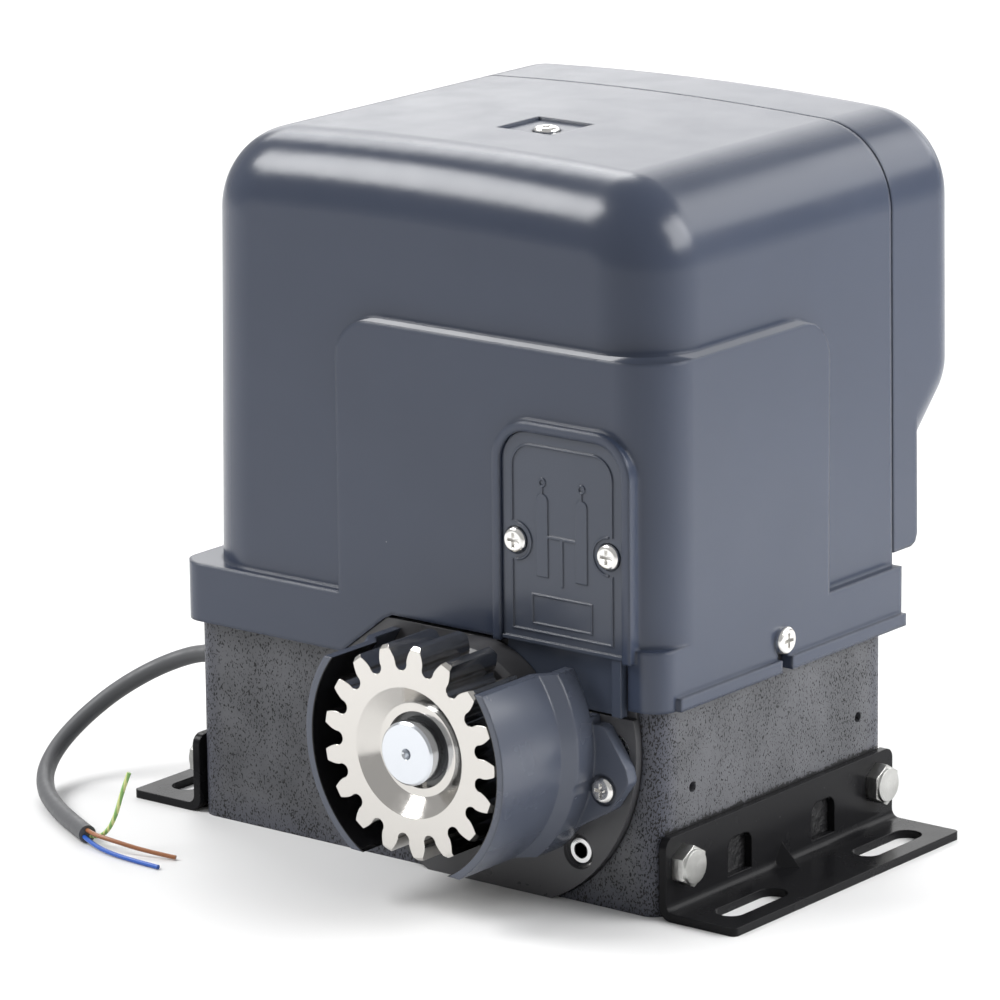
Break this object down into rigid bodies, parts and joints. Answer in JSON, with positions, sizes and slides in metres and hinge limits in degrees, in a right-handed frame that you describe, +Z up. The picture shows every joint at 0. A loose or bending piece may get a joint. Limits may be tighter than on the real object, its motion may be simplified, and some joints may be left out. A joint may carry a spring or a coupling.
{
  "type": "sliding gate motor",
  "caption": "Electric drive for a sliding gate: worm gearmotor under a moulded hood, guarded spur pinion for a rack, slotted foot brackets and a bare-ended lead.",
  "frame": {"origin": "centre of the base casting's footprint, on the surface that it stands on", "axes": "+Z up, the pinion and the limit cover face -Y, X runs along the rack"},
  "size_m": [0.3091, 0.243, 0.2546],
  "materials": {
    "hood_plastic": "satin moulded ABS, dark slate grey",
    "guard_plastic": "satin moulded, slate grey",
    "limit_plastic": "satin moulded, dark grey",
    "hammertone_paint": "dark grey speckled hammertone on die-cast aluminium",
    "flange_black": "satin black paint on cast iron",
    "bracket_black": "black powder coat on sheet steel",
    "nickel_steel": "nickel plated, fine turned",
    "zinc_steel": "bright zinc plated",
    "turned_steel": "ground and turned steel",
    "bronze": "machined bronze",
    "cast_aluminium": "as cast",
    "laminated_steel": "stacked electrical sheet",
    "winding": "varnished enamelled copper, laced",
    "gasket_fibre": "compressed fibre",
    "seal_rubber": "nitrile rubber",
    "black_nylon": "moulded nylon",
    "capacitor_white": "moulded can",
    "transformer_core": "varnished laminations",
    "board_green": "solder resist",
    "terminal_green": "moulded polyamide",
    "cord_pvc": "smooth PVC sheath",
    "core_blue": "PVC insulation, bare copper end",
    "core_brown": "PVC insulation, bare copper end",
    "core_green_yellow": "PVC insulation, striped, bare copper end"
  },
  "bodies": {
    "root": {"base_casting": "hammertone_paint", "output_flange": "flange_black", "flange_screws": "zinc_steel", "output_bearings": "turned_steel", "shaft_seal": "seal_rubber", "gearcase_gasket": "gasket_fibre", "gearcase_cover": "cast_aluminium", "gearcase_cover_screws": "zinc_steel", "motor_lower_bell": "cast_aluminium", "motor_stator": "laminated_steel", "motor_windings": "winding", "motor_upper_bell": "cast_aluminium", "motor_tie_bolts": "zinc_steel", "motor_bearings": "turned_steel", "hood_post": "zinc_steel", "front_hood": "hood_plastic", "rear_hood": "hood_plastic", "hood_side_screws": "zinc_steel", "hood_top_screw": "zinc_steel", "limit_housing": "hood_plastic", "limit_access_cover": "limit_plastic", "limit_cover_screws": "zinc_steel", "limit_sensor_board": "board_green", "pinion_guard": "guard_plastic", "guard_screws": "zinc_steel", "bracket_bolts": "zinc_steel", "run_capacitor": "capacitor_white", "capacitor_clamp": "zinc_steel", "transformer": "transformer_core", "board_bracket": "zinc_steel", "control_board": "board_green", "terminal_block": "terminal_green", "cable_gland": "black_nylon", "foot_bracket_right": "bracket_black", "foot_bracket_left": "bracket_black", "power_cord": "cord_pvc", "conductor_blue": "core_blue", "conductor_brown": "core_brown", "conductor_green_yellow": "core_green_yellow"},
    "output": {"output_shaft": "turned_steel", "output_pinion": "nickel_steel", "pinion_key": "turned_steel", "retaining_ring": "turned_steel", "worm_wheel": "bronze"},
    "rotor": {"worm_shaft": "turned_steel", "rotor_core": "cast_aluminium"},
    "spindle": {"release_spindle": "nickel_steel"},
    "fork": {"clutch_fork": "bronze"},
    "dog": {"clutch_dog": "turned_steel"}
  },
  "joints": [
    {"name": "output_spin", "type": "hinge", "parent": "root", "child": "output", "pos_m": [0.032, 0, 0.058], "axis": [0, 1, 0], "continuous": true},
    {"name": "rotor_spin", "type": "hinge", "parent": "root", "child": "rotor", "pos_m": [-0.0155, 0, 0.058], "axis": [0, 0, 1], "continuous": true},
    {"name": "fork_slide", "type": "slide", "parent": "root", "child": "fork", "axis": [0, -1, 0], "range_m": [0, 0.0042]},
    {"name": "release_turn", "type": "hinge", "parent": "root", "child": "spindle", "pos_m": [0.07089, 0, 0.01911], "axis": [0, 1, 0], "range_deg": [0, 90]},
    {"name": "dog_slide", "type": "slide", "parent": "output", "child": "dog", "axis": [0, -1, 0], "range_m": [0, 0.0042]}
  ],
  "couplings": [
    {"joint": "rotor_spin", "follows": "output_spin", "ratio": -30},
    {"joint": "release_turn", "follows": "fork_slide", "rad_per_m": 374},
    {"joint": "dog_slide", "follows": "fork_slide", "ratio": 1}
  ]
}
